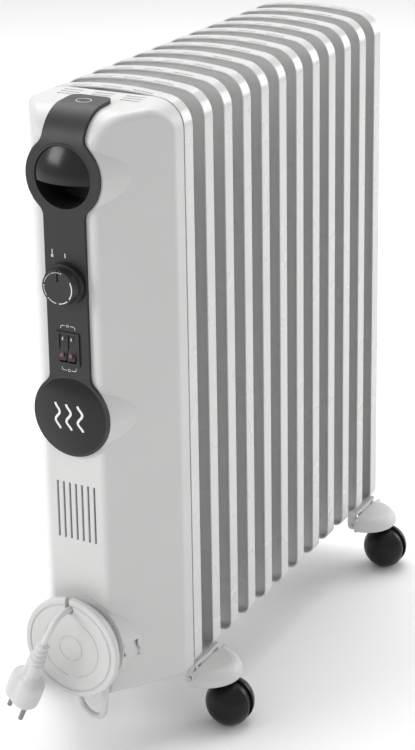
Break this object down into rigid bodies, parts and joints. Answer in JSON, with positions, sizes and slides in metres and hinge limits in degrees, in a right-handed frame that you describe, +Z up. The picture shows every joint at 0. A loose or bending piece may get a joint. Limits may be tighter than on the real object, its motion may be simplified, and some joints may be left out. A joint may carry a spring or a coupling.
{
  "type": "oil filled radiator",
  "caption": "Finned oil filled column radiator with a tall front control housing, recessed hand grip, cord store and folding wings with ball castors",
  "frame": {"origin": "on the floor under the middle of the object without its cord", "axes": "+Z up, the control panel faces -Y, the fins stand in a row along Y"},
  "size_m": [0.249, 0.5868, 0.64],
  "materials": {
    "white_paint": "satin white enamel",
    "white_plastic": "satin white plastic",
    "black_plastic": "satin black plastic",
    "gloss_black": "gloss black plastic",
    "grey_plastic": "light grey moulded plastic",
    "castor_black": "moulded black nylon",
    "zinc_steel": "zinc plated steel",
    "cord_sheath": "light grey sheath",
    "nickel": "nickel plated",
    "element_steel": "heat stained steel",
    "inner_plastic": "brown moulding"
  },
  "bodies": {
    "radiator": {"fin_01": "white_paint", "fin_02": "white_paint", "fin_03": "white_paint", "fin_04": "white_paint", "fin_05": "white_paint", "fin_06": "white_paint", "fin_07": "white_paint", "fin_08": "white_paint", "fin_09": "white_paint", "fin_10": "white_paint", "fin_11": "white_paint", "fin_12": "white_paint", "header_end_plugs": "white_paint", "oil_filler_plug": "white_paint", "foot_bracket_front": "white_paint", "foot_bracket_rear": "white_paint", "element_flange": "zinc_steel", "heating_element": "element_steel", "cover": "white_plastic", "control_strip": "black_plastic", "grip_well": "black_plastic", "grip_dome": "gloss_black", "badge_disc": "gloss_black", "thermostat_case": "inner_plastic", "switch_pivot": "zinc_steel", "switch_housing": "black_plastic", "reel_hub": "white_plastic", "reel_disc": "white_plastic", "cord_coil": "cord_sheath", "cord_gland": "grey_plastic", "cord_loop": "cord_sheath", "cord_lead": "cord_sheath", "plug_body": "grey_plastic", "plug_pins": "nickel", "foot_bolts": "zinc_steel", "foot_nuts": "zinc_steel", "hinge_pins": "zinc_steel", "heat_shield": "zinc_steel", "thermal_cutout": "inner_plastic", "terminal_block": "inner_plastic"},
    "knob": {"thermostat_knob": "black_plastic", "thermostat_spindle": "zinc_steel"},
    "rocker_left": {"rocker_left": "black_plastic"},
    "rocker_right": {"rocker_right": "black_plastic"},
    "wing_body_front_left": {"wing_front_left": "white_plastic"},
    "castor_body_front_left": {"castor_front_left": "castor_black"},
    "wheel_body_front_left_a": {"wheel_front_left_a": "castor_black"},
    "wheel_body_front_left_b": {"wheel_front_left_b": "castor_black"},
    "wing_body_front_right": {"wing_front_right": "white_plastic"},
    "castor_body_front_right": {"castor_front_right": "castor_black"},
    "wheel_body_front_right_a": {"wheel_front_right_a": "castor_black"},
    "wheel_body_front_right_b": {"wheel_front_right_b": "castor_black"},
    "wing_body_rear_left": {"wing_rear_left": "white_plastic"},
    "castor_body_rear_left": {"castor_rear_left": "castor_black"},
    "wheel_body_rear_left_a": {"wheel_rear_left_a": "castor_black"},
    "wheel_body_rear_left_b": {"wheel_rear_left_b": "castor_black"},
    "wing_body_rear_right": {"wing_rear_right": "white_plastic"},
    "castor_body_rear_right": {"castor_rear_right": "castor_black"},
    "wheel_body_rear_right_a": {"wheel_rear_right_a": "castor_black"},
    "wheel_body_rear_right_b": {"wheel_rear_right_b": "castor_black"}
  },
  "joints": [
    {"name": "knob_turn", "type": "hinge", "parent": "radiator", "child": "knob", "pos_m": [0, -0.25475, 0.478], "axis": [0, 1, 0], "range_deg": [0, 270]},
    {"name": "rocker_left_tip", "type": "hinge", "parent": "radiator", "child": "rocker_left", "pos_m": [-0.00465, -0.24725, 0.416], "axis": [1, 0, 0], "range_deg": [0, 16]},
    {"name": "rocker_right_tip", "type": "hinge", "parent": "radiator", "child": "rocker_right", "pos_m": [0.00465, -0.24725, 0.416], "axis": [1, 0, 0], "range_deg": [0, 16]},
    {"name": "wing_fold_front_left", "type": "hinge", "parent": "radiator", "child": "wing_body_front_left", "pos_m": [-0.07, -0.14275, 0.052], "axis": [0, -1, 0], "range_deg": [0, 90]},
    {"name": "castor_swivel_front_left", "type": "hinge", "parent": "wing_body_front_left", "child": "castor_body_front_left", "pos_m": [-0.093, -0.14275, 0.055], "axis": [0, 0, 1], "continuous": true},
    {"name": "wheel_roll_front_left_a", "type": "hinge", "parent": "castor_body_front_left", "child": "wheel_body_front_left_a", "pos_m": [-0.101, -0.14275, 0.0235], "axis": [0, 1, 0], "continuous": true},
    {"name": "wheel_roll_front_left_b", "type": "hinge", "parent": "castor_body_front_left", "child": "wheel_body_front_left_b", "pos_m": [-0.101, -0.14275, 0.0235], "axis": [0, 1, 0], "continuous": true},
    {"name": "wing_fold_front_right", "type": "hinge", "parent": "radiator", "child": "wing_body_front_right", "pos_m": [0.07, -0.14275, 0.052], "axis": [0, 1, 0], "range_deg": [0, 90]},
    {"name": "castor_swivel_front_right", "type": "hinge", "parent": "wing_body_front_right", "child": "castor_body_front_right", "pos_m": [0.093, -0.14275, 0.055], "axis": [0, 0, 1], "continuous": true},
    {"name": "wheel_roll_front_right_a", "type": "hinge", "parent": "castor_body_front_right", "child": "wheel_body_front_right_a", "pos_m": [0.101, -0.14275, 0.0235], "axis": [0, 1, 0], "continuous": true},
    {"name": "wheel_roll_front_right_b", "type": "hinge", "parent": "castor_body_front_right", "child": "wheel_body_front_right_b", "pos_m": [0.101, -0.14275, 0.0235], "axis": [0, 1, 0], "continuous": true},
    {"name": "wing_fold_rear_left", "type": "hinge", "parent": "radiator", "child": "wing_body_rear_left", "pos_m": [-0.07, 0.23725, 0.052], "axis": [0, -1, 0], "range_deg": [0, 90]},
    {"name": "castor_swivel_rear_left", "type": "hinge", "parent": "wing_body_rear_left", "child": "castor_body_rear_left", "pos_m": [-0.093, 0.23725, 0.055], "axis": [0, 0, 1], "continuous": true},
    {"name": "wheel_roll_rear_left_a", "type": "hinge", "parent": "castor_body_rear_left", "child": "wheel_body_rear_left_a", "pos_m": [-0.101, 0.23725, 0.0235], "axis": [0, 1, 0], "continuous": true},
    {"name": "wheel_roll_rear_left_b", "type": "hinge", "parent": "castor_body_rear_left", "child": "wheel_body_rear_left_b", "pos_m": [-0.101, 0.23725, 0.0235], "axis": [0, 1, 0], "continuous": true},
    {"name": "wing_fold_rear_right", "type": "hinge", "parent": "radiator", "child": "wing_body_rear_right", "pos_m": [0.07, 0.23725, 0.052], "axis": [0, 1, 0], "range_deg": [0, 90]},
    {"name": "castor_swivel_rear_right", "type": "hinge", "parent": "wing_body_rear_right", "child": "castor_body_rear_right", "pos_m": [0.093, 0.23725, 0.055], "axis": [0, 0, 1], "continuous": true},
    {"name": "wheel_roll_rear_right_a", "type": "hinge", "parent": "castor_body_rear_right", "child": "wheel_body_rear_right_a", "pos_m": [0.101, 0.23725, 0.0235], "axis": [0, 1, 0], "continuous": true},
    {"name": "wheel_roll_rear_right_b", "type": "hinge", "parent": "castor_body_rear_right", "child": "wheel_body_rear_right_b", "pos_m": [0.101, 0.23725, 0.0235], "axis": [0, 1, 0], "continuous": true}
  ]
}
